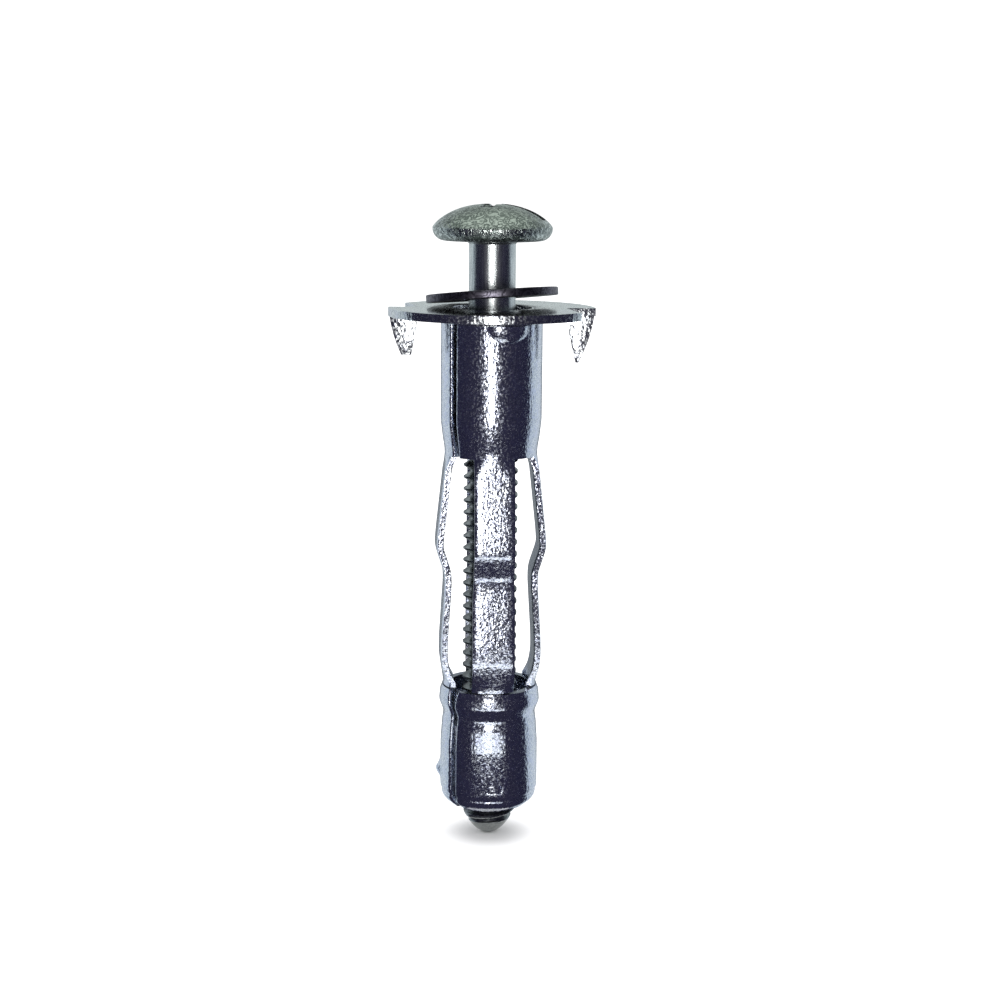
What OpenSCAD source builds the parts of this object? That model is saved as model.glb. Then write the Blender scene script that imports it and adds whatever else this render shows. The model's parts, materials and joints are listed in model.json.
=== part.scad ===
// Hollow-wall anchor: a machine screw, a loose washer, a pronged flange plate, a rolled sleeve
// with four folding legs, and a captive nut at the sleeve's far end.
// Z = 0 is the flange plate's underside, the face that lies on the wall, and +Z points out of it.
// The screw's axis is the Z axis. Azimuths are measured from -Y (the front) towards +X (the right).

/* [Screw] */
// Diameter over the thread crests
thread_d = 4.76; // [4.6:0.02:4.8]
// Rise of the thread in one turn
pitch = 1.0583; // [1:0.0001:1.1]
// Diameter of the plain shank above the thread
shank_d = 4.05; // [3.8:0.05:4.2]
// Diameter across the head
head_d = 10.3; // [9.8:0.1:10.8]
// Height of the head from its bearing face to the crown
head_h = 3.2; // [2.8:0.1:3.4]
// Height of the straight edge below the crown
head_rim = 0.7; // [0.4:0.1:1]
// Height of the head's bearing face above the wall
head_z = 6.4; // [6.3:0.1:8]
// Length of the screw below its head
screw_len = 53; // [52:0.5:55]
// Height at which the thread starts, measured from the wall
thread_start = -11.4; // [-12:0.1:-9]
// Width of the driver slot
slot_w = 1.2; // [1:0.1:1.4]
// Depth of the driver slot below the crown
slot_depth = 1.4; // [1:0.1:1.6]
// Reach of the cross recess from the axis
cross_reach = 2.7; // [2.4:0.1:3]
// Angle of the driver slot about the axis
slot_turn = -13; // [-20:1:0]
// Height of the screw's rounded end
tip_h = 1.7; // [1.5:0.1:2]
// Radius of the screw where its rounded end starts
tip_r = 2.1; // [1.9:0.05:2.2]
// Roundness of that end, from a cone at 1 to a flat end near 0
tip_round = 0.45; // [0.4:0.05:0.6]

/* [Washer] */
// Outer diameter of the washer
washer_d = 11.4; // [11:0.1:11.8]
// Hole diameter of the washer
washer_hole_d = 5.1; // [5:0.1:5.4]
// Thickness of the washer
washer_t = 0.7; // [0.6:0.05:0.75]
// Height of the washer's centre above the flange plate
washer_lift = 1.07; // [1.05:0.01:1.1]
// Tilt that raises the washer's right side
washer_roll = 4.2; // [3:0.05:4.4]
// Tilt that raises the washer's front side
washer_nod = 5.2; // [4:0.1:5.4]

/* [Flange plate] */
// Outer diameter of the flange plate
flange_d = 17.9; // [17.6:0.1:18.2]
// Thickness of the flange plate
plate_t = 0.7; // [0.6:0.05:0.8]
// Hole diameter of the flange plate
flange_hole_d = 6.9; // [6.6:0.1:7]
// Depth of the collar under the plate
collar_h = 0.55; // [0.5:0.05:0.7]
// Distance from the axis, along the right, to the inner end of the right prong
prong_in = 6.35; // [6.2:0.05:6.4]
// Distance of that end behind the axis
prong_back = 0.25; // [0.2:0.05:0.5]
// Width of each prong where it is bent from the plate
prong_w = 2.5; // [2.3:0.05:2.55]
// Angle between a prong and the line from the axis through it
prong_turn = 1; // [0:0.5:4]
// Thickness of the prong blades
prong_t = 0.6; // [0.5:0.05:0.65]
// Length of the right prong, from the plate's top face to its tip
right_prong_len = 4.7; // [4.4:0.1:4.9]
// Width of the right prong's tip
right_prong_tip = 0.25; // [0.2:0.05:0.4]
// Length of the left prong, from the plate's top face to its tip
left_prong_len = 4.1; // [3.8:0.1:4.4]
// Width of the left prong's tip
left_prong_tip = 0.85; // [0.6:0.05:1]
// Where the tips lie along the width, as a share from the inner end
prong_middle = 0.41; // [0.35:0.01:0.5]
// Bow of the prongs' inner edges, which are straight at 1
inner_bow = 1.4; // [1:0.1:2]
// Bow of the prongs' outer edges, which are straight at 1
outer_bow = 1.8; // [1:0.1:2.2]
// How far the gap in front of a prong is wider than the prong is long
gap_extra = 1.5; // [1:0.1:1.8]

/* [Sleeve] */
// Thickness of the rolled sheet
sheet_t = 0.65; // [0.6:0.05:0.7]
// Outer diameter of the sleeve's tube
tube_d = 8.8; // [8.7:0.05:8.9]
// Outer diameter of the tube where it necks in above the legs
neck_d = 8.1; // [8:0.05:8.2]
// Height over which the tube narrows to its neck
neck_h = 3; // [2.5:0.1:3.5]
// Height at which the slots between the legs start
slot_top = -12; // [-12.1:0.1:-11.8]
// Width of each leg
leg_w = 3.2; // [2.8:0.1:3.4]
// Turn of the legs about the axis
leg_turn = 5.5; // [0:0.5:8]
// Azimuth of the open seam of the rolled sheet
seam_turn = -47; // [-50:1:-40]
// Width of the open seam
seam_w = 0.6; // [0.4:0.05:0.8]
// Width of the seam where it opens out through the barrel's bead
seam_mouth_w = 1; // [0.9:0.1:1.2]

/* [Folding legs] */
// Radius of the fold lines at the middle of the sheet
fold_r = 3.8; // [3.75:0.05:3.85]
// Height of the upper fold line
fold_top = -12.9; // [-13:0.1:-12.8]
// Length of each half of a leg, from fold line to fold line
leg_half = 9.7; // [9.6:0.1:9.8]
// Outward bulge of the upper halves
upper_bulge = 0.8; // [0.6:0.05:0.85]
// Outward bulge of the lower halves
lower_bulge = 0.49; // [0.4:0.01:0.5]
// How far the upper bulge sits towards the knee: it is in the middle at 1
upper_shift = 1.67; // [1.5:0.01:1.8]
// How far the lower bulge sits towards the barrel: it is in the middle at 1
lower_shift = 2; // [1.8:0.05:2.1]
// Turns of the screw that fold the legs flat against the wall's back
fold_turns = 14; // [12:1:14]

/* [Barrel and nut] */
// Outer diameter of the barrel around the nut
barrel_d = 8.66; // [8.6:0.02:8.7]
// Outer diameter of the bead that ends the slots
bead_d = 8.94; // [8.8:0.02:9]
// Outer diameter of the groove that holds the nut down
groove_d = 8.2; // [8.1:0.05:8.3]
// Distance from the barrel's top to the bead's upper edge
bead_start = 0.5; // [0.4:0.05:0.6]
// Distance from the barrel's top to the bead's lower edge
bead_end = 1.4; // [1.3:0.05:1.5]
// Distance from the barrel's top to the middle of the groove
groove_z = 2.45; // [2.3:0.05:2.6]
// Distance from the barrel's top to the nut
nut_drop = 3.4; // [3.3:0.05:3.6]
// Length of the nut
nut_h = 6.4; // [6:0.1:6.6]
// Opening left by the crimped end
crimp_hole_d = 5.5; // [5.2:0.1:5.8]
// Height of the crimped end below the nut
crimp_h = 1.1; // [1:0.1:1.2]
// Azimuth of the stake mark that stands out from the barrel
stake_turn = -84; // [-90:1:-75]
// Diameter of the stake mark
stake_d = 1; // [0.7:0.1:1]
// Height of the stake mark above the nut's lower face
stake_z = 2; // [1.5:0.1:2.5]
// Azimuth of the punched opening at the foot of the barrel
punch_turn = 8; // [0:1:15]
// Width of the punched opening
punch_w = 1.2; // [1:0.1:1.4]
// Height of the punched opening
punch_h = 0.6; // [0.4:0.05:0.8]
// Height of the punched opening above the nut's lower face
punch_z = 0.8; // [0.6:0.1:1.2]

/* [Fits] */
// Clearance between a rounded fold edge and the edge it turns against
fold_gap = 0.06; // [0.05:0.01:0.08]
// Clearance between the thread crests and the nut's bore
thread_gap = 0.05; // [0.03:0.01:0.08]
// Gap between parts that only lie beside each other
rest_gap = 0.02; // [0.01:0.01:0.05]

/* [Hidden] */
$fn = 96;
FRONT = 0;
RIGHT = 1;
BACK = 2;
LEFT = 3;
cut = 0.1;
half_t = sheet_t / 2;
knuckle_r = half_t + fold_gap / 4;
thread_r = thread_d / 2;
thread_depth = 0.57 * pitch;
root_r = thread_r - thread_depth;
tip_z = head_z - screw_len;
dome_h = head_h - head_rim;
dome_r = (pow(head_d / 2, 2) + pow(dome_h, 2)) / (2 * dome_h);
turns = floor((thread_start - tip_z - tip_h) / pitch);
knee_z = fold_top - leg_half;
fold_bottom = knee_z - leg_half;
fold_edge = knuckle_r + fold_gap;
barrel_top = fold_bottom - fold_edge;
fold_angle = acos(1 - fold_turns * pitch / (2 * leg_half));
mitre = tan(90 - fold_angle);
tube_r = tube_d / 2;
neck_r = neck_d / 2;
barrel_r = barrel_d / 2;
bead_r = bead_d / 2;
groove_r = groove_d / 2;
crimp_r = crimp_hole_d / 2;
collar_r = tube_r + 0.1;
nut_top = barrel_top - nut_drop;
nut_bottom = nut_top - nut_h;
steel = [0.66, 0.69, 0.72];
dull_steel = [0.36, 0.37, 0.38];
dark_steel = [0.5, 0.53, 0.57];

// Turns a shape from the +X direction to an azimuth
module at_azimuth(a) {
    rotate([0, 0, a - 90]) children();
}

// Stands a drawing of radius against height upright and gives it a width
module upright(width) {
    rotate([90, 0, 0]) linear_extrude(height = width, center = true) children();
}

// A block that starts at the axis and points along an azimuth
module radial_block(a, reach, width, low, high) {
    at_azimuth(a) translate([0, -width / 2, low]) cube([reach, width, high - low]);
}

// Screw ---------------------------------------------------------------------------------------

// One turn of the thread, as a ridge and a groove
function thread_turn(z) = [
    [thread_r, z - pitch / 8],
    [thread_r, z - pitch / 4],
    [root_r, z - pitch * 9 / 16],
    [root_r, z - pitch * 13 / 16]
];

module screw_body() {
    points = [
        [0, head_z + head_rim / 2],
        [shank_d / 2, head_z + head_rim / 2],
        [shank_d / 2, thread_start + pitch / 4],
        [root_r, thread_start],
        for (i = [0:turns - 1]) each thread_turn(thread_start - i * pitch),
        for (i = [8:-1:0]) let (s = i / 8) [tip_r * pow(s, tip_round), tip_z + tip_h * s]
    ];
    rotate_extrude() polygon(points);
}

module screw_head() {
    intersection() {
        translate([0, 0, head_z + head_h - dome_r]) sphere(r = dome_r);
        translate([0, 0, head_z]) cylinder(d = head_d, h = head_h + cut);
    }
}

module driver_recess() {
    crown = head_z + head_h;
    rotate([0, 0, slot_turn]) {
        translate([-head_d, -slot_w / 2, crown - slot_depth])
            cube([2 * head_d, slot_w, slot_depth + cut]);
        translate([-slot_w / 2, -cross_reach, crown - slot_depth])
            cube([slot_w, 2 * cross_reach, slot_depth + cut]);
    }
    translate([0, 0, crown - head_h * 0.75])
        cylinder(d1 = slot_w, d2 = slot_w * 2, h = head_h * 0.75 + cut);
}

module screw() {
    color(steel) difference() {
        union() {
            screw_body();
            screw_head();
        }
        driver_recess();
    }
}

// Washer --------------------------------------------------------------------------------------

module washer() {
    color(dull_steel)
        translate([0, 0, plate_t + washer_lift])
        rotate([-washer_nod, -washer_roll, 0])
        difference() {
            cylinder(d = washer_d, h = washer_t, center = true);
            cylinder(d = washer_hole_d, h = washer_t + 2 * cut, center = true);
        }
}

// Flange plate --------------------------------------------------------------------------------

// Outline of a prong: distance along its bend against distance from the bend, with bowed edges
module prong_outline(length, tip) {
    steps = 10;
    middle = prong_middle * prong_w;
    inner = [for (i = [0:steps]) let (s = i / steps)
             [(middle - tip / 2) * pow(s, inner_bow), length * s]];
    outer = [for (i = [steps:-1:0]) let (s = i / steps)
             [prong_w - (prong_w - middle - tip / 2) * pow(s, outer_bow), length * s]];
    polygon(concat(inner, outer));
}

// Moves a shape to a prong's inner end and turns it along the prong's bend
module at_prong() {
    translate([prong_in, prong_back, 0]) rotate([0, 0, -prong_turn]) children();
}

// The gap that a prong leaves in the plate, open to the rim in front of the bend
module prong_notch(length) {
    far = -length - gap_extra;
    at_prong() translate([0, 0, -cut]) linear_extrude(height = plate_t + 2 * cut)
        polygon([
            [0, 0], [flange_d, 0], [flange_d, far], [prong_w * 2 * prong_middle, far],
            [prong_w * prong_middle, -length]
        ]);
}

module prong(length, tip) {
    at_prong() translate([0, 0, plate_t]) mirror([0, 0, 1])
        upright(prong_t) prong_outline(length, tip);
}

// The rounded fillet and the ring under the plate that the sleeve's tube is held by
module collar() {
    foot = collar_r + 0.4;
    hole_r = flange_hole_d / 2;
    inner_r = tube_r - sheet_t;
    rotate_extrude() polygon([
        [hole_r, 0], [hole_r, plate_t / 2], [foot, plate_t / 2], [foot, 0],
        [collar_r + 0.12, -collar_h / 4], [collar_r, -collar_h * 3 / 4], [collar_r, -collar_h],
        [inner_r, -collar_h], [inner_r, -collar_h / 2]
    ]);
}

module flange_plate() {
    color(steel) {
        difference() {
            cylinder(d = flange_d, h = plate_t);
            translate([0, 0, -cut]) cylinder(d = flange_hole_d, h = plate_t + 2 * cut);
            prong_notch(right_prong_len);
            rotate([0, 0, 180]) prong_notch(left_prong_len);
        }
        collar();
        prong(right_prong_len, right_prong_tip);
        rotate([0, 0, 180]) prong(left_prong_len, left_prong_tip);
    }
}

// Sleeve --------------------------------------------------------------------------------------

module seam(low, high, width) {
    radial_block(seam_turn, tube_d, width, low, high);
}

module sleeve_tube() {
    top = -collar_h - rest_gap;
    bottom = fold_top + fold_edge;
    outer = [
        [tube_r, top], [tube_r, slot_top + neck_h],
        [(tube_r + neck_r) / 2, slot_top + neck_h / 2], [neck_r, slot_top + neck_h / 6],
        [neck_r, bottom]
    ];
    inner = [for (i = [len(outer) - 1:-1:0]) [outer[i][0] - sheet_t, outer[i][1]]];
    color(dark_steel) difference() {
        rotate_extrude() polygon(concat(outer, inner));
        seam(bottom - cut, top + cut, seam_w);
        for (i = [FRONT:LEFT]) at_azimuth(leg_turn + 45 + 90 * i)
            translate([0, -slot_gap() / 2, bottom - cut])
            cube([tube_d, slot_gap(), slot_top - bottom + cut]);
    }
}

// Width of the slot between two legs, along the chord
function slot_gap() = 2 * fold_r * sin(45 - asin(leg_w / 2 / fold_r));

// Legs ----------------------------------------------------------------------------------------

// How far a leg half stands out from the straight line between its fold lines
function bulge(height, s, shape) = height * sin(180 * pow(s, shape));

// A leg half as seen from the side: it starts and stops at shares of its length, counted down
module leg_profile(top, height, shape, from, to) {
    steps = 16;
    line = [for (i = [0:steps]) let (s = from + (to - from) * i / steps)
            [fold_r + bulge(height, s, shape), top - leg_half * s]];
    outer = [for (p = line) [p[0] + half_t, p[1]]];
    inner = [for (i = [steps:-1:0]) [line[i][0] - half_t, line[i][1]]];
    polygon(concat(outer, inner));
}

// What is cut from a leg half's inner side so that the two halves lie together when folded
module mitre_relief(way) {
    reach = leg_half / 4;
    translate([fold_r, knee_z]) polygon([
        [fold_gap, 0], [fold_gap - mitre * reach, way * reach],
        [-sheet_t - mitre * reach, way * reach], [-sheet_t, 0]
    ]);
}

// The rounded end on which a leg half turns
module fold_knuckle(z) {
    translate([fold_r, 0, z]) rotate([90, 0, 0])
        cylinder(r = knuckle_r, h = leg_w - 2 * rest_gap, center = true);
}

module upper_leg(i) {
    color(dark_steel) at_azimuth(leg_turn + 90 * i) {
        upright(leg_w) difference() {
            leg_profile(fold_top, upper_bulge, upper_shift, 0, 1 - fold_edge / leg_half);
            mitre_relief(1);
        }
        fold_knuckle(fold_top);
    }
}

module lower_leg(i) {
    color(dark_steel) at_azimuth(leg_turn + 90 * i) {
        upright(leg_w) difference() {
            leg_profile(knee_z, lower_bulge, lower_shift, 0, 1);
            mitre_relief(-1);
        }
        fold_knuckle(knee_z);
        fold_knuckle(fold_bottom);
    }
}

module upper_leg_front() { upper_leg(FRONT); }
module upper_leg_right() { upper_leg(RIGHT); }
module upper_leg_back() { upper_leg(BACK); }
module upper_leg_left() { upper_leg(LEFT); }
module lower_leg_front() { lower_leg(FRONT); }
module lower_leg_right() { lower_leg(RIGHT); }
module lower_leg_back() { lower_leg(BACK); }
module lower_leg_left() { lower_leg(LEFT); }

// Barrel and nut ------------------------------------------------------------------------------

module sleeve_barrel() {
    end = nut_bottom - crimp_h;
    seat_r = barrel_r - sheet_t;
    groove_top = barrel_top - groove_z + 0.2;
    groove_foot = barrel_top - groove_z - 0.2;
    outer = [
        [neck_r, barrel_top], [bead_r, barrel_top - bead_start], [bead_r, barrel_top - bead_end],
        [groove_r, groove_top], [groove_r, groove_foot],
        [barrel_r, nut_top], [barrel_r, nut_bottom + crimp_h / 3],
        [seat_r + sheet_t / 2, nut_bottom - crimp_h / 2], [crimp_r + sheet_t, end]
    ];
    inner = [
        [crimp_r, end], [crimp_r + sheet_t / 3, nut_bottom - rest_gap],
        [seat_r, nut_bottom - rest_gap], [seat_r, nut_top + rest_gap],
        [groove_r - sheet_t, groove_foot], [groove_r - sheet_t, groove_top],
        [bead_r - sheet_t, barrel_top - bead_end], [neck_r - sheet_t, barrel_top]
    ];
    color(dark_steel) difference() {
        union() {
            rotate_extrude() polygon(concat(outer, inner));
            at_azimuth(stake_turn) translate([barrel_r - stake_d / 8, 0, nut_bottom + stake_z])
                sphere(d = stake_d);
        }
        seam(end - cut, barrel_top + cut, seam_w);
        seam(barrel_top - bead_end, barrel_top + cut, seam_mouth_w);
        radial_block(punch_turn, tube_d, punch_w,
                     nut_bottom + punch_z, nut_bottom + punch_z + punch_h);
    }
}

module nut() {
    bore = thread_d + 2 * thread_gap;
    body = barrel_d - 2 * sheet_t - 2 * rest_gap;
    color(steel) translate([0, 0, nut_bottom]) difference() {
        cylinder(d = body, h = nut_h);
        translate([0, 0, -cut]) cylinder(d = bore, h = nut_h + 2 * cut);
    }
}

screw();
washer();
flange_plate();
sleeve_tube();
upper_leg_front();
upper_leg_right();
upper_leg_back();
upper_leg_left();
lower_leg_front();
lower_leg_right();
lower_leg_back();
lower_leg_left();
sleeve_barrel();
nut();
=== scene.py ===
# %% [markdown]
# A hollow-wall anchor in bright zinc
#
# The anchor is a machine screw that runs through a loose washer, a pronged plate, a sleeve of
# rolled sheet with four folding legs, and a nut that the sleeve's far end grips. Turning the
# screw draws the nut up, and the legs fold outwards behind the wall.
#
# The model that holds its sizes and joints is loaded first, and nothing in it is moved. Each
# finished piece is worked out as arrays of points, in millimetres, and then scaled to metres.

# %% Load the frame
import json
import math

import bmesh
import bpy
import numpy as np
from mathutils import Matrix, Vector


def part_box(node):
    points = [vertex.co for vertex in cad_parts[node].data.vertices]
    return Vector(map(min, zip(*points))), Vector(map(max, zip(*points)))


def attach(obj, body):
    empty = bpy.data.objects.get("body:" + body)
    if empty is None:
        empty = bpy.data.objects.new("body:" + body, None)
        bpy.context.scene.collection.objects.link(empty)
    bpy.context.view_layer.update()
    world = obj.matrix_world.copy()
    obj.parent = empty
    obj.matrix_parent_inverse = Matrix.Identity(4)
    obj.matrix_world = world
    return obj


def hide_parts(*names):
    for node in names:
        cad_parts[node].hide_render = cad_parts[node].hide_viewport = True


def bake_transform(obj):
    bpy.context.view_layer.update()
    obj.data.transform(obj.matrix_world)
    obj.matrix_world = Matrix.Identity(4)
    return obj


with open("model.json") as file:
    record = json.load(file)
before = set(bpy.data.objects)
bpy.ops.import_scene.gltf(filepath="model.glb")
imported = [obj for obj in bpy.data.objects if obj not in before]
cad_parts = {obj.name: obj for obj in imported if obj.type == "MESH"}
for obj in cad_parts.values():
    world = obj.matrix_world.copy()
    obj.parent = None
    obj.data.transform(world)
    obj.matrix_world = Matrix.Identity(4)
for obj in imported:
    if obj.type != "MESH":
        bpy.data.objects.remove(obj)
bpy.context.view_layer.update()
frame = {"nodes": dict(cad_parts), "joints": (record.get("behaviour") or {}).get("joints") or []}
MM = 0.001


def span(node):
    """The lowest and highest corner of a node, in millimetres."""
    low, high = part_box(node)
    return np.array(low) / MM, np.array(high) / MM


def joint(name):
    """The frame's record of a joint."""
    return next(j for j in frame["joints"] if j["name"] == name)


# %% [markdown]
# Camera
#
# A long lens looks down a little on the anchor from the front, so its sides stay nearly
# parallel. A slight roll about the line of sight leans the anchor to the right.

# %% Camera
eye = Vector((0.83, -161.0, 13.4)) * MM
look_down = math.radians(10.4)
roll = math.radians(0.5)

lens = bpy.data.cameras.new("camera")
lens.lens = 67.2
lens.sensor_width = 36.0
lens.clip_start = 0.005
camera = bpy.data.objects.new("camera", lens)
turned = Matrix.Rotation(math.pi / 2 - look_down, 4, "X") @ Matrix.Rotation(roll, 4, "Z")
camera.matrix_world = Matrix.Translation(eye) @ turned
bpy.context.scene.collection.objects.link(camera)
bpy.context.scene.camera = camera
bpy.context.scene.view_settings.view_transform = "Standard"
print("camera at", tuple(round(c, 4) for c in eye))

# %% [markdown]
# Sums on sockets
#
# A finish is mostly arithmetic on a few noises. Writing it as Python sums keeps it readable, so
# one small class stands for a socket and adds a Math node for each operator. Every other node
# comes from a single method, which sets the node up and joins its sockets.

# %% Materials as expressions
class Wire:
    """A socket that gives a number or a colour. Sums on it add Math nodes."""

    def __init__(self, recipe, socket):
        self.recipe = recipe
        self.socket = socket

    def math(self, operation, first, second=0.0):
        """A Math node on two numbers or sockets."""
        return self.recipe.node("ShaderNodeMath", {"operation": operation},
                                {0: first, 1: second})

    def __add__(self, other):
        return self.math("ADD", self, other)

    def __radd__(self, other):
        return self.math("ADD", other, self)

    def __sub__(self, other):
        return self.math("SUBTRACT", self, other)

    def __rsub__(self, other):
        return self.math("SUBTRACT", other, self)

    def __mul__(self, other):
        return self.math("MULTIPLY", self, other)

    def __rmul__(self, other):
        return self.math("MULTIPLY", other, self)

    def __truediv__(self, other):
        return self.math("DIVIDE", self, other)

    def __rtruediv__(self, other):
        return self.math("DIVIDE", other, self)

    def power(self, other):
        return self.math("POWER", self, other)

    def absolute(self):
        return self.math("ABSOLUTE", self)

    def above(self, other):
        return self.math("GREATER_THAN", self, other)

    def at_least(self, other):
        return self.math("MAXIMUM", self, other)


def set_stops(ramp, stops):
    """Gives a colour ramp its stops, each a position and a colour."""
    while len(ramp.elements) < len(stops):
        ramp.elements.new(0.5)
    for element, (position, colour) in zip(ramp.elements, stops):
        element.position = position
        element.color = (*colour, 1.0)


class Recipe:
    """A material under construction, with its nodes and the place on the piece."""

    def __init__(self, name):
        self.material = bpy.data.materials.new(name)
        self.material.use_nodes = True
        self.tree = self.material.node_tree
        self.tree.nodes.clear()
        self.place = self.node("ShaderNodeTexCoord", output="Object")

    def node(self, kind, settings=None, sockets=None, output=0):
        """Adds a node, sets it up, then joins or sets its sockets, and gives one output."""
        made = self.tree.nodes.new(kind)
        for key, value in (settings or {}).items():
            if key == "stops":
                set_stops(made.color_ramp, value)
            else:
                setattr(made, key, value)
        for key, value in (sockets or {}).items():
            if isinstance(value, Wire):
                self.tree.links.new(value.socket, made.inputs[key])
            else:
                made.inputs[key].default_value = value
        return Wire(self, made.outputs[output])

    def axes(self, where):
        """The x, y and z of a place, each as a number."""
        first = self.node("ShaderNodeSeparateXYZ", None, {0: where})
        return [Wire(self, output) for output in first.socket.node.outputs]

    def stretched(self, along):
        """The place with its three directions scaled, so that a pattern is drawn out."""
        return self.node("ShaderNodeVectorMath", {"operation": "MULTIPLY"},
                         {0: self.place, 1: along}, "Vector")

    def noise(self, grain_mm, detail=2.0, rough=0.5, where=None, twist=0.0):
        """A noise from 0 to 1 whose grains are about grain_mm wide."""
        return self.node("ShaderNodeTexNoise", None,
                         {"Vector": where or self.place, "Scale": 1 / (grain_mm * MM),
                          "Detail": detail, "Roughness": rough, "Distortion": twist}, "Fac")

    def ramp(self, value, stops):
        """Colours by value."""
        return self.node("ShaderNodeValToRGB", {"stops": stops}, {0: value}, "Color")

    def steps(self, value, low, high):
        """0 below low, 1 above high, and smooth between them."""
        return self.node("ShaderNodeMapRange", {"interpolation_type": "SMOOTHSTEP"},
                         {"Value": value, "From Min": low, "From Max": high})

    def blend(self, share, first, second):
        """The first colour where share is 0 and the second where it is 1."""
        return self.node("ShaderNodeMix", {"data_type": "RGBA"},
                         {0: share, 6: first, 7: second}, 2)

    def metal(self, colour, roughness, height, depth_mm):
        """Ends the material as bare metal, with its fine relief as bump."""
        normal = self.node("ShaderNodeBump", None,
                           {"Height": height, "Distance": depth_mm * MM, "Strength": 1.0},
                           "Normal")
        shader = self.node("ShaderNodeBsdfPrincipled", None,
                           {"Base Color": colour, "Metallic": 1.0, "Roughness": roughness,
                            "Normal": normal})
        return self.end(shader)

    def end(self, shader):
        """Joins a shader to the material's output, and gives the finished material."""
        output = self.tree.nodes.new("ShaderNodeOutputMaterial")
        self.tree.links.new(shader.socket, output.inputs["Surface"])
        return self.material


# %% [markdown]
# Bright zinc on rolled sheet
#
# Zinc plate on the sleeve is a thin, shiny coat with a fine grain. The grain tips the surface by
# a few degrees, so each fleck mirrors something else, and the sheet sparkles instead of shining
# like chrome. A noise with little fine detail gives flecks of one size, where more detail would
# blur into a haze. Some flecks are dull, which softens the sparkle. A clear passivation adds
# faint blue and lavender tints, and long, fine lines run along the sheet.

# %% Zinc
def zinc(name, pale, deep, tint, fleck_mm=0.24, relief_mm=0.028, shine=0.10, lines=0.35):
    """Plated metal: two tones by grain, tinted in clouds, with flecks and lines along the axis."""
    r = Recipe(name)
    grain = r.noise(fleck_mm / 2, detail=2.0, rough=0.6)
    clouds = r.noise(1.1, detail=3.0, rough=0.7)
    flecks = r.noise(fleck_mm, detail=1.0, rough=0.5, where=r.stretched((1.0, 1.0, 0.8)))
    scratches = r.noise(fleck_mm, detail=1.0, rough=0.5, where=r.stretched((1.0, 1.0, 0.2)))
    tone = r.blend(r.steps(grain, 0.38, 0.62), (*deep, 1.0), (*pale, 1.0))
    hued = r.blend(0.7 * r.steps(clouds * 0.5 + flecks * 0.5, 0.46, 0.62), tone, (*tint, 1.0))
    dull = r.steps(r.noise(fleck_mm * 0.8, detail=2.0, rough=0.6), 0.48, 0.62)
    rough = shine + 0.05 * grain + 0.16 * dull
    return r.metal(hued, rough, flecks + lines * scratches, relief_mm)


sleeve_zinc = zinc("sleeve_zinc", (0.92, 0.95, 0.98), (0.50, 0.54, 0.64), (0.70, 0.74, 0.92))
plate_zinc = zinc("plate_zinc", (0.84, 0.87, 0.85), (0.45, 0.47, 0.49), (0.66, 0.68, 0.75),
                  fleck_mm=0.3, relief_mm=0.035, shine=0.13)
nut_zinc = zinc("nut_zinc", (0.62, 0.64, 0.64), (0.35, 0.36, 0.37), (0.5, 0.52, 0.6),
                fleck_mm=0.3, shine=0.3)
print("zinc finishes made")

# %% [markdown]
# The screw and the washer
#
# The screw's head has a greener coat with dark marks like short worms. A twisted noise crosses
# its middle value along such lines, so a narrow band about that value draws them. Painted shade
# darkens the head's recess. The thread is painted darker than the bare shank above it, as shade
# inside the sleeve, and the washer is almost black and only catches the light along its edges.

# %% Recess sizes
slot_turn = -13.0
slot_w = 1.2
cross_w = 1.0
cross_len = 4.4
recess_taper = 0.06
recess_floor = 8.2
print("recess: slot", slot_w, "cross", cross_w, "by", cross_len, "mm")


# %% Head, thread and washer finishes
def worm_marks(r, size_mm, width):
    """1 along lines like short worms, where a twisted noise crosses its middle value, else 0."""
    off_middle = r.noise(size_mm, detail=1.5, rough=0.5, twist=1.3) - 0.5
    return 1.0 - r.steps(off_middle.absolute(), 0.0, width)


def tumbled(name, pale, deep, size_mm, relief_mm, shine, painted_shade=None, worm_width=0.13):
    """A coat with worm-like marks over a fine grain, darkened where shade is painted in."""
    r = Recipe(name)
    worms = worm_marks(r, size_mm, worm_width)
    grain = r.noise(0.1, detail=3.0, rough=0.7)
    clouds = r.noise(1.4, detail=2.0)
    share = 0.8 * worms + 0.2 * r.steps(grain, 0.4, 0.62)
    colour = r.blend(share, (*pale, 1.0), (*deep, 1.0))
    if painted_shade:
        # Painted shade: the recess is darkened nearly to black, where little light reaches.
        colour = r.blend(painted_shade(r), colour, (0.02, 0.02, 0.025, 1.0))
    rough = shine + 0.12 * clouds + 0.10 * grain
    return r.metal(colour, rough, grain - 1.3 * worms, relief_mm)


def recess_painted_shade(r):
    """Nearly 1 inside the slot and the cross, where shade is painted into the recess, from the
    place turned to the slot's direction.
    """
    turned = r.node("ShaderNodeVectorRotate", {"rotation_type": "Z_AXIS"},
                    {"Vector": r.place, "Angle": -math.radians(slot_turn)})
    x, y, z = r.axes(turned)
    along = x.absolute()
    beside = y.absolute()
    slot = 1.0 - r.steps(beside, slot_w / 2 * MM, (slot_w / 2 + recess_taper) * MM)
    cross = 1.0 - r.steps(along, cross_w / 2 * MM, (cross_w / 2 + recess_taper) * MM)
    cross = cross * (1.0 - beside.above((cross_len / 2 + 0.05) * MM))
    return 0.9 * slot.at_least(cross) * z.above((recess_floor - 0.03) * MM)


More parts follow.
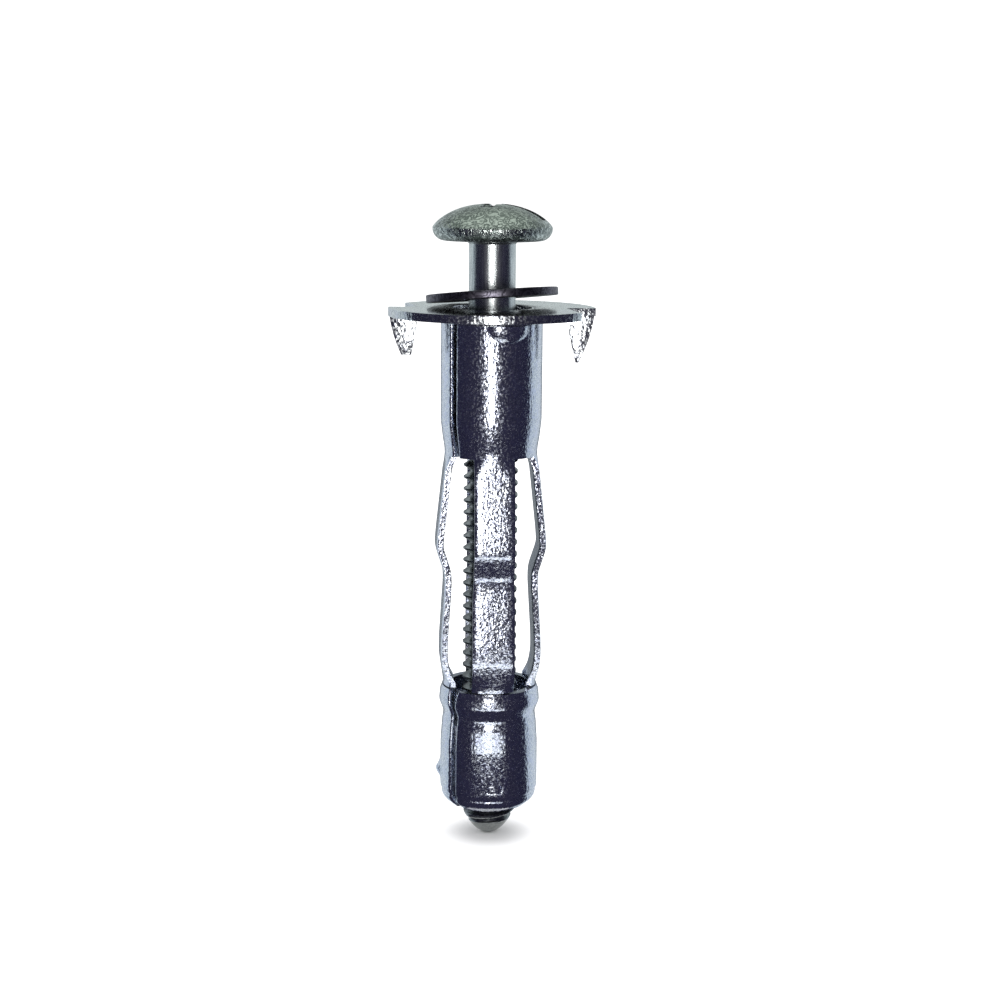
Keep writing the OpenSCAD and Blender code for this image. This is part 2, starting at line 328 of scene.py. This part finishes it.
def threaded(name, pale, deep, dark_below):
    """Drawn steel: bright on the shank, and painted darker on the thread below a height, as shade
    inside the sleeve.
    """
    r = Recipe(name)
    grain = r.noise(0.1, detail=3.0, rough=0.7)
    lines = r.noise(0.12, detail=3.0, where=r.stretched((1.0, 1.0, 0.06)))
    tone = r.blend(r.steps(0.5 * grain + 0.5 * lines, 0.4, 0.6), (*pale, 1.0), (*deep, 1.0))
    height = r.axes(r.place)[2]
    # Painted shade: everything below dark_below is darkened for the shade inside the sleeve, and
    # the exposed tip below the barrel gets it too.
    painted_sleeve_shade = 0.6 * (1.0 - r.steps(height, (dark_below - 0.6) * MM, (dark_below + 0.6) * MM))
    colour = r.blend(painted_sleeve_shade, tone, (0.10, 0.11, 0.11, 1.0))
    return r.metal(colour, 0.2 + 0.12 * grain, grain + 1.5 * lines, 0.006)


# The head's recess gets painted shade.
head_zinc = tumbled("head_zinc", (0.72, 0.78, 0.73), (0.14, 0.17, 0.16), 0.6, 0.02, 0.15,
                    recess_painted_shade)
thread_zinc = threaded("thread_zinc", (0.80, 0.83, 0.81), (0.45, 0.48, 0.48), -10.5)
washer_steel = tumbled("washer_steel", (0.16, 0.15, 0.18), (0.05, 0.045, 0.06), 0.7, 0.005, 0.25)
print("screw and washer finishes made")

# %% [markdown]
# Surfaces from arrays
#
# A surface is a grid of points, and its faces follow from the numbers of the grid's points. A
# few helpers serve every piece: one numbers the faces, one spins an outline about the axis, and
# one turns points and faces into a finished, closed mesh.

# %% Grid and spin
def grid_quads(rows, columns, loop_rows=False, loop_columns=False):
    """Faces of a grid in which point (i, j) has the number i * columns + j."""
    i, j = np.meshgrid(np.arange(rows - (not loop_rows)), np.arange(columns - (not loop_columns)),
                       indexing="ij")
    n = (i + 1) % rows
    m = (j + 1) % columns
    corners = [i * columns + j, i * columns + m, n * columns + m, n * columns + j]
    return np.stack(corners, axis=-1).reshape(-1, 4)


def around(radius, azimuth, height):
    """Points at azimuths from the front towards the right: x = r sin a and y = -r cos a."""
    radius, azimuth, height = np.broadcast_arrays(radius, azimuth, height)
    return np.stack([radius * np.sin(azimuth), -radius * np.cos(azimuth), height], axis=-1)


def spin(outline, columns, loop=False):
    """An outline of (radius, height) carried round the axis, as points and faces.

    The azimuth of column k is 2 pi k / columns. A loop's last point joins its first one.
    """
    outline = np.asarray(outline, float)
    turn = np.linspace(0, 2 * np.pi, columns, endpoint=False)[:, None]
    return (around(outline[None, :, 0], turn, outline[None, :, 1]),
            grid_quads(columns, len(outline), True, loop))


def arc(centre, radius, start, stop, steps=6):
    """Points (r, z) on an arc about a centre, with angles in degrees from the outward side."""
    a = np.radians(np.linspace(start, stop, steps))
    return np.stack([centre[0] + radius * np.cos(a), centre[1] + radius * np.sin(a)], axis=-1)


print("a spun square has", len(spin([[1, 0], [2, 0], [2, 1], [1, 1]], 8, True)[1]), "faces")


# %% Build and settle
def clean(mesh, sharp):
    """Merges what coincides, turns the faces outwards and shades smoothly up to an angle."""
    work = bmesh.new()
    work.from_mesh(mesh)
    bmesh.ops.remove_doubles(work, verts=work.verts, dist=1e-7)
    bmesh.ops.recalc_face_normals(work, faces=work.faces)
    work.to_mesh(mesh)
    work.free()
    mesh.polygons.foreach_set("use_smooth", np.ones(len(mesh.polygons), bool))
    mesh.set_sharp_from_angle(angle=math.radians(sharp))


def build(name, points, faces, finish, sharp=32.0):
    """A mesh object from points in millimetres, merged, closed and facing outwards."""
    mesh = bpy.data.meshes.new(name)
    mesh.from_pydata((np.reshape(points, (-1, 3)) * MM).tolist(), [], faces.tolist())
    clean(mesh, sharp)
    mesh.materials.append(finish)
    made = bpy.data.objects.new(name, mesh)
    bpy.context.scene.collection.objects.link(made)
    print(f"{name}: {len(mesh.polygons)} faces")
    return made


def declare(made, slot, *nodes):
    """Hides the nodes that a piece stands for. The slot is not used."""
    if nodes:
        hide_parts(*nodes)


def settle(made, body, slot, *nodes):
    """Rides a piece on its body, and hides the nodes it stands for."""
    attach(made, body)
    declare(made, slot, *nodes)


# %% [markdown]
# The screw's thread
#
# A thread is one ridge wound on a rod. The grid's rows follow the ridge instead of lying level,
# so a few rows a turn keep its crest sharp: going once round lifts a row by one pitch, where it
# meets the row that is one pitch further on. Heights are held between the thread's two ends,
# and the parts of rows beyond them shrink to nothing and merge.

# %% Screw sizes
screw_low, screw_high = span("screw")
head_r = screw_high[0]
tip = screw_low[2]
bearing = 6.4
crown = bearing + 3.15
pitch = 1.0583
crest_r = 2.38
root_r = 1.777
shank_r = 2.025
thread_top = -11.2
tip_flat_r = 0.35
tip_r = 2.1
tip_h = 1.72
tip_round = 0.45
collar = 0.25
into_head = 0.3
COLUMNS = 72

# The ridge over one pitch, as shares of the pitch and of its height
ridge_at = np.array([0.0, 0.07, 0.16, 0.25, 0.34, 0.44, 0.56, 0.66, 0.75, 0.84, 0.93])
ridge_height = np.interp(ridge_at, [0.0, 0.07, 0.44, 0.56, 0.93, 1.0], [1, 1, 0, 0, 1, 1])
print("screw:", round(bearing - tip, 2), "mm below the head")


# %% Thread and shank
def thread_points(top, bottom):
    """Height = row's height + pitch * turn; radius = root + depth * ridge, within an envelope.

    The envelope rounds the tip, r = tip_r * (height / tip_h) ** tip_round, and lets the ridge
    run out at the top.
    """
    turns = int((top - bottom) / pitch) + 4
    lift = (np.arange(turns)[:, None] + ridge_at[None, :]).ravel() * pitch
    turn = np.arange(COLUMNS) / COLUMNS
    z = bottom - 2 * pitch + lift[None, :] + turn[:, None] * pitch
    radius = root_r + (crest_r - root_r) * np.tile(ridge_height, turns)[None, :]
    z = np.clip(z, bottom, top)
    fade = np.clip((top - z) / pitch, 0, 1)
    radius = shank_r + (radius - shank_r) * fade
    cap = tip_r * np.clip((z - bottom) / tip_h, 0, None) ** tip_round
    radius = np.minimum(radius, np.maximum(tip_flat_r, cap))
    return around(radius, turn[:, None] * 2 * np.pi, z)


def thread_faces(columns, rows, step):
    """Faces of the wound grid, whose last column meets the first one, step rows further on."""
    i, j = np.meshgrid(np.arange(columns), np.arange(rows - 1), indexing="ij")
    wraps = i == columns - 1
    n = np.where(wraps, 0, i + 1)
    m = np.where(wraps, j + step, j)
    keep = m < rows - 1
    corners = [i * rows + j, i * rows + j + 1, n * rows + m + 1, n * rows + m]
    return np.stack(corners, axis=-1)[keep]


wound = thread_points(thread_top, tip)
wound_faces = thread_faces(COLUMNS, wound.shape[1], len(ridge_at))
shank, shank_faces = spin([[shank_r, thread_top], [shank_r, bearing - collar],
                           [shank_r + collar, bearing], [shank_r + collar, bearing + into_head],
                           [0.0, bearing + into_head]], COLUMNS)
tip_flat, tip_faces = spin([[tip_flat_r, tip], [0.0, tip]], COLUMNS)
stack = [wound.reshape(-1, 3), shank.reshape(-1, 3), tip_flat.reshape(-1, 3)]
starts = np.cumsum([0] + [len(s) for s in stack])
faces = np.concatenate([wound_faces, shank_faces + starts[1], tip_faces + starts[2]])
thread = build("screw_thread", np.concatenate(stack), faces, thread_zinc, sharp=28.0)
settle(thread, "screw", "screw_zinc", "screw")

# %% [markdown]
# The screw's head
#
# The head is a low dome with a well-rounded rim and a flat face below. Its recess takes a flat
# blade or a cross driver: a slot from edge to edge with a shorter slot across it and a small cone
# in the middle. The dome is spun, and the recess is cut out of it with slightly tapered cutters,
# because only a true cut leaves walls as crisp as a punch does.

# %% Dome and cutters
def dome(radius, rim_z, top, fullness=2.2, shoulder=0.75, steps=56):
    """z = rim + height * (1 - (r / radius) ** fullness) ** shoulder, from the rim to the crown."""
    r = radius * np.sin(np.linspace(np.pi / 2, 0, steps))
    share = (1 - (r / radius) ** fullness) ** shoulder
    return np.stack([r, rim_z + (top - rim_z) * share], axis=-1)


def block(length, width, low, high, taper):
    """A box with walls that lean outwards by the taper, as 8 points and 6 faces."""
    x = length / 2
    y = width / 2
    base = np.array([[-x, -y], [x, -y], [x, y], [-x, y]])
    lean = np.sign(base) * taper
    points = np.concatenate([np.c_[base, np.full(4, low)], np.c_[base + lean, np.full(4, high)]])
    faces = np.array([[3, 2, 1, 0], [4, 5, 6, 7], [0, 1, 5, 4], [1, 2, 6, 5], [2, 3, 7, 6],
                      [3, 0, 4, 7]])
    return points, faces


def turned_about_z(points, degrees):
    """Points turned about the axis: x' = x cos a - y sin a and y' = x sin a + y cos a."""
    a = math.radians(degrees)
    turn = np.array([[math.cos(a), -math.sin(a), 0], [math.sin(a), math.cos(a), 0], [0, 0, 1]])
    return points.reshape(-1, 3) @ turn.T


def cut_out(target, cutters):
    """Takes the cutters out of the target for good, and removes them."""
    for cutter in cutters:
        step = target.modifiers.new("cut", "BOOLEAN")
        step.operation = "DIFFERENCE"
        step.solver = "EXACT"
        step.object = cutter
    ready = target.evaluated_get(bpy.context.evaluated_depsgraph_get())
    mesh = bpy.data.meshes.new_from_object(ready)
    target.modifiers.clear()
    target.data = mesh
    for cutter in cutters:
        bpy.data.objects.remove(cutter)


print("dome: from", round(bearing, 2), "to", round(crown, 2), "mm")

# %% Head
rim_round = 1.05
rim_z = bearing + 1.1
above_crown = 0.5
profile = np.concatenate([
    [[0.0, bearing], [head_r - rim_round - 0.1, bearing]],
    arc((head_r - rim_round, bearing + rim_round), rim_round, -90, 0, 10)[1:-1],
    dome(head_r, rim_z, crown)[1:],
])
points, faces = spin(profile, 128)
head = build("screw_head", points, faces, head_zinc)
cutters = []
for name, length, width in (("slot", 2.2 * head_r, slot_w), ("cross", cross_w, cross_len)):
    points, faces = block(length, width, recess_floor, crown + above_crown, recess_taper)
    cutters.append(build(name, turned_about_z(points, slot_turn), faces, head_zinc))
cone, faces = spin([[0.0, crown - 2.4], [0.5, crown - 2.2], [1.2, crown + 0.2],
                    [0.0, crown + 0.2]], 24)
cutters.append(build("cone", cone, faces, head_zinc))
cut_out(head, cutters)
clean(head.data, 32.0)
settle(head, "screw", "screw_zinc", "screw")
print("head:", len(head.data.polygons), "faces")

# %% [markdown]
# The washer
#
# The washer is loose on the shank and rests askew. It is a ring with softened edges, spun flat
# about the axis and then tilted by two turns, about the side-to-side line and about the
# front-to-back line.

# %% Washer
washer_low, washer_high = span("washer")
washer_mid = (washer_low[2] + washer_high[2]) / 2
washer_inner = 2.55
washer_outer = 5.7
washer_t = 0.7
washer_soft = 0.1
nod = -5.2
lean = -4.2


def rounded_ring(inner, outer, half, soft, steps=4):
    """A ring's section as a loop of (r, z): a rectangle whose four corners are arcs."""
    corners = [((outer - soft, half - soft), 90, 0), ((outer - soft, soft - half), 0, -90),
               ((inner + soft, soft - half), -90, -180), ((inner + soft, half - soft), 180, 90)]
    return np.concatenate([arc(c, soft, a, b, steps) for c, a, b in corners])


ring = rounded_ring(washer_inner, washer_outer, washer_t / 2, washer_soft)
points, faces = spin(ring, 128, loop=True)
tilt = Matrix.Rotation(math.radians(lean), 3, "Y") @ Matrix.Rotation(math.radians(nod), 3, "X")
points = points.reshape(-1, 3) @ np.array(tilt).T + [0.0, 0.0, washer_mid]
washer = build("washer_ring", points, faces, washer_steel)
settle(washer, "washer", "washer_steel", "washer")

# %% [markdown]
# The pronged plate
#
# The plate is stamped, and its two prongs are bent down out of it, which leaves two notches. The
# solid already has that outline, so a copy of it is merged, freed of the lines between its flat
# triangles and given rounded edges, as tumbling and plating leave them.

# %% Plate
def softened(node, name, finish, width_mm, flat_within=1.5, edge_from=40.0):
    """A copy of a node whose edges, sharper than an angle in degrees, are rounded to a width."""
    made = bpy.data.objects.new(name, frame["nodes"][node].data.copy())
    bpy.context.scene.collection.objects.link(made)
    work = bmesh.new()
    work.from_mesh(made.data)
    bmesh.ops.remove_doubles(work, verts=work.verts, dist=2e-6)
    bmesh.ops.dissolve_limit(work, angle_limit=math.radians(flat_within), verts=work.verts,
                             edges=work.edges)
    bmesh.ops.recalc_face_normals(work, faces=work.faces)
    work.to_mesh(made.data)
    work.free()
    made.data.materials.clear()
    made.data.materials.append(finish)
    edge = made.modifiers.new("edge", "BEVEL")
    edge.width = width_mm * MM
    edge.segments = 3
    edge.limit_method = "ANGLE"
    edge.angle_limit = math.radians(edge_from)
    ready = made.evaluated_get(bpy.context.evaluated_depsgraph_get())
    made.data = bpy.data.meshes.new_from_object(ready)
    made.modifiers.clear()
    clean(made.data, edge_from)
    print(f"{name}: {len(made.data.polygons)} faces")
    return made


plate = softened("flange_plate", "plate_with_prongs", plate_zinc, 0.12)
settle(plate, "sleeve_top", "plate_zinc", "flange_plate")

# %% [markdown]
# The rolled sleeve
#
# The sleeve is a flat blank rolled into a tube, so it has an open seam along its whole length,
# and every part of it is one sheet thick. A rolled part is an outer and an inner outline carried
# round the axis from one side of the seam to the other, closed at the rims and along the seam.
# Its outer corners along the seam are rounded, so that they catch the light as a thin line.

# %% Rolled sheet
sheet_t = 0.65
seam = math.radians(-47.0)
seam_w = 0.6
seam_mouth_w = 1.0
corner_r = 0.18
thin = np.array([sheet_t, 0.0])


def rolled(outer, inner, half_gap, columns, dents):
    """A sheet between two outlines, with a seam whose half width (mm) follows the height.

    Angle = seam + gap / radius at one side, and a full turn less that at the other. The outer
    corners along the seam are rounded: the radius drops by c - sqrt(c ** 2 - (c - distance) ** 2).
    A few columns stand close together at each side of the seam to follow those corners.
    """
    loop = np.concatenate([outer, inner[::-1]])
    gap = (half_gap(loop[:, 1]) / loop[:, 0])[None, :]
    near = np.linspace(0, corner_r, 6)[:-1] / loop[:, 0].mean() / (2 * np.pi)
    share = np.concatenate([near, np.linspace(0, 1, columns)[1:-1], 1 - near[::-1]])[:, None]
    azimuth = seam + gap + share * (2 * np.pi - 2 * gap)
    radius = loop[None, :, 0] + dents(azimuth, loop[None, :, 1])
    distance = np.minimum(share, 1 - share) * 2 * np.pi * loop[None, :, 0]
    missing = np.clip(corner_r - distance, 0, None)
    is_outer = np.arange(len(loop)) < len(outer)
    radius = radius - (corner_r - np.sqrt(corner_r ** 2 - missing ** 2)) * is_outer
    points = around(radius, azimuth, loop[None, :, 1])
    sides = grid_quads(len(share), len(loop), False, True)
    k = np.arange(len(outer) - 1)
    cap = np.stack([k, k + 1, len(loop) - 2 - k, len(loop) - 1 - k], axis=-1)
    return points, np.concatenate([sides, cap, cap + (len(share) - 1) * len(loop)])


def smooth_outline(knots, spacing=0.12, soft=0.25):
    """An outline through (r, z) knots, resampled by height, its radii averaged with their
    neighbours by the weights exp(-0.5 * (distance / soft) ** 2)."""
    knots = np.asarray(knots, float)
    z = np.linspace(knots[0, 1], knots[-1, 1], int(abs(np.ptp(knots[:, 1])) / spacing) + 2)
    step = abs(z[1] - z[0])
    reach = int(3 * soft / step) + 1
    weights = np.exp(-0.5 * (np.arange(-reach, reach + 1) * step / soft) ** 2)
    r = np.interp(-z, -knots[:, 1], knots[:, 0])
    padded = np.concatenate([np.full(reach, r[0]), r, np.full(reach, r[-1])])
    return np.stack([np.convolve(padded, weights / weights.sum(), "valid"), z], axis=-1)


def round_from(azimuth, degrees, radius):
    """Distance round a tube from an azimuth: radius * difference, taken between -pi and pi."""
    return radius * (np.mod(azimuth - math.radians(degrees) + np.pi, 2 * np.pi) - np.pi)


print("sheet:", sheet_t, "mm thick, seam", seam_w, "mm wide")

# %% Tube
tube_corner = span("sleeve_tube")[1]
tube_r = tube_corner[0]
tube_top = tube_corner[2]
neck_r = 4.05
slot_top = -12.0
lobe_azimuth = 21.0
lobe_half_w = 1.85
lobe_h = 1.43
lobe_depth = 0.32


def tube_gap(z):
    """Half the seam's width, the same at every height."""
    return np.full_like(z, seam_w / 2)


def tube_dents(azimuth, z):
    """A lobe pressed out at the front right, right under the plate: a quarter of an ellipsoid.

    Depth = lobe_depth * (1 - (along / half width) ** 2 - (drop / height) ** 2) ** 0.6
    """
    along = round_from(azimuth, lobe_azimuth, tube_r)
    inside = 1 - (along / lobe_half_w) ** 2 - ((tube_top - z) / lobe_h) ** 2
    return lobe_depth * np.clip(inside, 0, None) ** 0.6


tube = smooth_outline([[tube_r, tube_top], [tube_r, tube_top - 8.4], [4.22, slot_top + 1.5],
                       [neck_r, slot_top + 0.5], [neck_r, slot_top]])
points, faces = rolled(tube, tube - thin, tube_gap, 288, tube_dents)
made = build("rolled_tube", points, faces, sleeve_zinc)
settle(made, "sleeve_top", "sleeve_zinc", "sleeve_tube")

# %% [markdown]
# The folding legs
#
# Each leg is a strip left between two slots. It keeps the curve of the tube at its two ends and
# is nearly flat between them, and along its length it bows out twice with a pinch between, which
# is where it folds. A leg is built as two strips: the first runs from the sleeve over the upper
# fold to the middle of the upper half, and the second runs on over the pinch to the barrel. They
# meet at the middle of the upper half.

# %% Leg sizes
fold_top = joint("leg_fold_front")["pos_m"][2] / MM
knee = joint("knee_front")["pos_m"][2] / MM
fold_bottom = joint("barrel_fold")["pos_m"][2] / MM
front_axis = joint("leg_fold_front")["axis"]
leg_turn = math.degrees(math.atan2(-front_axis[1], -front_axis[0]))
fold_r = 3.8
upper_bow_r = 4.54
lower_bow_r = 4.14
leg_w = 3.5
lower_wider = 0.05
least_curve = 0.06
curve_end = 1.6
edge_soft = 0.1
fold_bend = 0.35
knee_bend = 0.55
SIDES = ("front", "right", "back", "left")
print("legs fold at", round(fold_top, 2), round(knee, 2), round(fold_bottom, 2), "mm")


# %% Legs
def leg_path():
    """The sheet's middle as (r, z) points: straight runs between bends, with rounded corners."""
    knots = [[neck_r - sheet_t / 2, slot_top], [fold_r, fold_top],
             [upper_bow_r - 0.08, fold_top - 6.1], [upper_bow_r, fold_top - 7.3],
             [fold_r + 0.03, knee + 0.25], [fold_r, knee - 0.8],
             [lower_bow_r - 0.02, knee - 5.9], [lower_bow_r, knee - 7.4],
             [fold_r, fold_bottom], [fold_r, fold_bottom - 0.3]]
    return smooth_outline(knots, soft=0.28)


def strip(path, turn, columns=21):
    """A sheet along a path with its section square to it: flat in the middle, curved at its ends.

    Across the strip a point is r = line - curve * (fold_r - sqrt(fold_r ** 2 - beside ** 2)),
    and the curve fades from 1 at the tube and the barrel to least_curve between them.
    """
    slope = np.gradient(path, axis=0)
    slope /= np.linalg.norm(slope, axis=1, keepdims=True)
    normal = np.stack([-slope[:, 1], slope[:, 0]], axis=-1)
    share = np.linspace(-1, 1, columns)[:, None]
    width = leg_w * (1 + lower_wider * np.clip((knee - path[:, 1]) / 2, 0, 1))
    beside = share * width[None, :] / 2
    from_end = np.minimum(slot_top - path[:, 1], path[:, 1] - fold_bottom)
    curve = least_curve + (1 - least_curve) * np.clip(1 - from_end / curve_end, 0, 1) ** 2
    sag = curve[None, :] * (fold_r - np.sqrt(fold_r ** 2 - beside ** 2))
    edge = edge_soft * np.abs(share) ** 10
    sheets = []
    for side in (1, -1):
        offset = side * (sheet_t / 2 - edge) - sag
        radius = path[None, :, 0] + offset * normal[None, :, 0]
        height = path[None, :, 1] + offset * normal[None, :, 1]
        azimuth = np.arctan2(beside, radius) + math.radians(turn)
        sheets.append(around(np.hypot(radius, beside), azimuth, height))
    points = np.concatenate([sheets[0], sheets[1][::-1]])
    rows = len(path)
    sides = grid_quads(2 * columns, rows, True, False)
    k = np.arange(columns - 1)
    cap = np.stack([k * rows, (k + 1) * rows, (2 * columns - 2 - k) * rows,
                    (2 * columns - 1 - k) * rows], axis=-1)
    return points, np.concatenate([sides, cap, cap + rows - 1])


path = leg_path()
middle = int(np.argmin(np.abs(path[:, 1] - (fold_top + knee) / 2)))
for i, side in enumerate(SIDES):
    turn = leg_turn + 90 * i
    upper = "upper_leg_" + side
    lower = "lower_leg_" + side
    for name, part, bend_z, bend, above, below in (
        ("leg_top_", path[:middle + 1], fold_top, fold_bend, "sleeve_top", upper),
        ("leg_knee_", path[middle:], knee, knee_bend, upper, lower),
    ):
        points, faces = strip(part, turn)
        made = build(name + side, points, faces, sleeve_zinc)
        start = (around(fold_r, math.radians(turn), bend_z + bend) * MM).tolist()
        end = (around(fold_r, math.radians(turn), bend_z - bend) * MM).tolist()
        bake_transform(made)
        declare(made, "sleeve_zinc", below)

# %% [markdown]
# The barrel and the nut
#
# Below the legs the sleeve closes again round the nut. A bead stands out where the slots end, a
# groove under it keeps the nut down, and the end is crimped inwards. The seam gapes in a V at
# the top, a small pip was staked into the side, and a lip was punched in low at the front. The
# nut hides inside, so its solid is shown as it is, in its own finish.

# %% Barrel sizes
barrel_low, barrel_high = span("sleeve_barrel")
barrel_top = barrel_high[2]
barrel_end = barrel_low[2]
nut_foot = span("nut")[0][2]
barrel_r = 4.33
bead_r = 4.47
groove_r = 4.1
mouth_h = 1.4
crimp_t = 0.75
crimp_r = 2.75
pip_azimuth = -84.0
pip_z = nut_foot + 2.0
pip_depth = 0.42
pip_r = 0.6
lip_azimuth = 8.0
lip_low = nut_foot + 0.8
lip_high = nut_foot + 1.45
lip_half_w = 0.65
lip_depth = 0.3
print("barrel:", round(barrel_top - barrel_end, 2), "mm long")


# %% Barrel
def barrel_gap(z):
    """Half the seam's width, which opens in a V through the bead."""
    opening = np.clip((z - barrel_top + mouth_h) / mouth_h, 0, 1)
    return seam_w / 2 + (seam_mouth_w - seam_w) / 2 * opening


def barrel_dents(azimuth, z):
    """A pip at the left and a punched lip at the front, as changes of radius in millimetres.

    The pip is pip_depth * exp(-(distance / pip_r) ** 2). The lip slopes in from its foot over
    0.6 mm and ends in a sharp step at its top.
    """
    pip_distance = np.hypot(round_from(azimuth, pip_azimuth, barrel_r), z - pip_z)
    pip = pip_depth * np.exp(-(pip_distance / pip_r) ** 2)
    lip_along = round_from(azimuth, lip_azimuth, barrel_r)
    across = np.clip((lip_half_w - np.abs(lip_along)) / 0.1, 0, 1)
    ramp = np.clip((z - lip_low) / 0.6, 0, 1) * (z < lip_high)
    return pip - lip_depth * across * ramp


outer = smooth_outline([[4.2, barrel_top], [bead_r - 0.08, barrel_top - 0.45],
                        [bead_r, barrel_top - 1.4], [groove_r, barrel_top - 2.35],
                        [groove_r, barrel_top - 2.6], [barrel_r - 0.12, barrel_top - 3.4],
                        [barrel_r, barrel_top - 5.3], [barrel_r, nut_foot + 0.35],
                        [barrel_r - 0.2, nut_foot + 0.15], [barrel_r - 0.1, nut_foot - 0.15],
                        [4.0, nut_foot - 0.6], [3.35, barrel_end]], 0.08, 0.1)
inner = outer - thin
inner[:, 0] = np.where(outer[:, 1] < nut_foot - 0.2,
                       np.maximum(crimp_r, outer[:, 0] - crimp_t), inner[:, 0])
points, faces = rolled(outer, inner, barrel_gap, 256, barrel_dents)
barrel = build("rolled_barrel", points, faces, sleeve_zinc)
settle(barrel, "barrel", "sleeve_zinc", "sleeve_barrel")

nut = frame["nodes"]["nut"]
nut.data.materials.clear()
nut.data.materials.append(nut_zinc)

# %% [markdown]
# Floor and world
#
# A pale floor and a pale world fill the picture, so the anchor stands on white with only a soft
# shadow under its tip. The floor touches the tip and is wide enough to have no edge in view.

# %% Floor and world
floor_z = tip * MM
floor_r = 3.0
floor_corners = 64
turn = np.linspace(0, 2 * np.pi, floor_corners, endpoint=False)
disc = np.stack([floor_r * np.cos(turn), floor_r * np.sin(turn), np.full_like(turn, floor_z)],
                axis=-1)
mesh = bpy.data.meshes.new("floor")
mesh.from_pydata(disc.tolist(), [], [list(range(floor_corners))])
floor = bpy.data.objects.new("floor", mesh)
bpy.context.scene.collection.objects.link(floor)
r = Recipe("floor_paper")
shade = r.blend(r.noise(2.0), (0.90, 0.90, 0.91, 1.0), (0.93, 0.93, 0.935, 1.0))
mesh.materials.append(r.end(r.node("ShaderNodeBsdfDiffuse", None, {"Color": shade})))

world = bpy.data.worlds.new("studio")
world.use_nodes = True
world.node_tree.nodes["Background"].inputs["Color"].default_value = (1.0, 1.0, 1.0, 1.0)
world.node_tree.nodes["Background"].inputs["Strength"].default_value = 1.15
bpy.context.scene.world = world
print("floor at", round(tip, 2), "mm")

# %% [markdown]
# The tent
#
# Bare metal shows little of its own, only what stands around it. A studio hangs a tent of cloth
# round it for that reason, and so does this scene, with a shell that only reflections can see.
# It is dark in front and pale at the sides, which gives the tube its dark middle and bright
# flanks. Its roof runs from dark to pale and shades the head's dome, and a bright patch low in
# front lights the barrel and its bead. The colours follow the place on the shell, by direction
# and by height as a share of its radius.

# %% Tent cloth
tent_r = 45.0
r = Recipe("tent_cloth")
x, y, z = r.axes(r.place)
reach = (x * x + y * y + 1e-9).power(0.5)
turned_from_front = 0.5 + 0.5 * y / reach
height = z / (tent_r * MM)
walls = r.ramp(turned_from_front, [
    (0.0, (0.030, 0.028, 0.052)), (0.53, (0.018, 0.018, 0.040)), (0.548, (0.10, 0.12, 0.17)),
    (0.565, (0.52, 0.60, 0.67)), (0.80, (0.66, 0.72, 0.77)), (0.93, (0.62, 0.68, 0.72)),
    (1.0, (0.60, 0.66, 0.66))])
roof = r.ramp(r.steps(height, 0.45, 1.4), [
    (0.0, (0.06, 0.055, 0.08)), (0.3, (0.14, 0.15, 0.15)), (0.55, (0.36, 0.41, 0.38)),
    (1.0, (0.62, 0.68, 0.63))])
low_back = r.steps(turned_from_front, 0.90, 0.96) * (1.0 - r.steps(height, -0.2, 0.0))
walls = r.blend(0.7 * low_back, walls, (0.05, 0.055, 0.07, 1.0))
colour = r.blend(r.steps(height, 0.45, 0.85), walls, roof)
low_front = (1.0 - r.steps(height, -0.97, -0.93)) * (1.0 - r.steps(turned_from_front, 0.05, 0.10))
low_front = low_front * r.steps(reach, 0.033, 0.039)
colour = r.blend(low_front, colour, (1.5, 1.55, 1.6, 1.0))
tent_cloth = r.end(r.node("ShaderNodeEmission", None, {"Color": colour, "Strength": 1.0}))
tent_cloth.cycles.emission_sampling = "NONE"
print("tent cloth made")

# %% Tent
tent_hole = 2.5
tent_floor = tip + 0.2
tent_wall_top = 20.0
tent_outline = np.concatenate([[[tent_hole, tent_floor], [tent_r, tent_floor]],
                               arc((0.0, tent_wall_top), tent_r, 0, 90, 24)])
points, faces = spin(tent_outline, 96)
tent = build("tent", points, faces, tent_cloth)
for sight in ("camera", "diffuse", "transmission", "volume_scatter", "shadow"):
    setattr(tent, "visible_" + sight, False)

# %% [markdown]
# Lamps
#
# A tall, narrow lamp in front makes the bright streak down the middle of the tube and the
# barrel. It shows only in reflections, so it casts nothing on the floor. A wide lamp overhead
# lights the floor evenly and is kept out of reflections, which the tent takes care of.

# %% Lamps
def lamp(name, place, width, length, power, aim):
    """A rectangular soft lamp that faces a point, in metres and watts."""
    light = bpy.data.lights.new(name, "AREA")
    light.shape = "RECTANGLE"
    light.size = width
    light.size_y = length
    light.energy = power
    made = bpy.data.objects.new(name, light)
    away = Vector(aim) - Vector(place)
    made.matrix_world = (Matrix.Translation(Vector(place))
                         @ away.to_track_quat("-Z", "Y").to_matrix().to_4x4())
    bpy.context.scene.collection.objects.link(made)
    made.visible_camera = False
    return made


flash = lamp("flash", (0.0, -0.150, -0.020), 0.018, 0.080, 0.13, (0.0, 0.0, -0.020))
flash.visible_diffuse = False
sky = lamp("sky", (0.0, 0.05, 0.9), 1.2, 1.2, 9.0, (0.0, 0.0, -0.018))
sky.visible_glossy = False
print("lamps:", flash.data.energy, sky.data.energy)
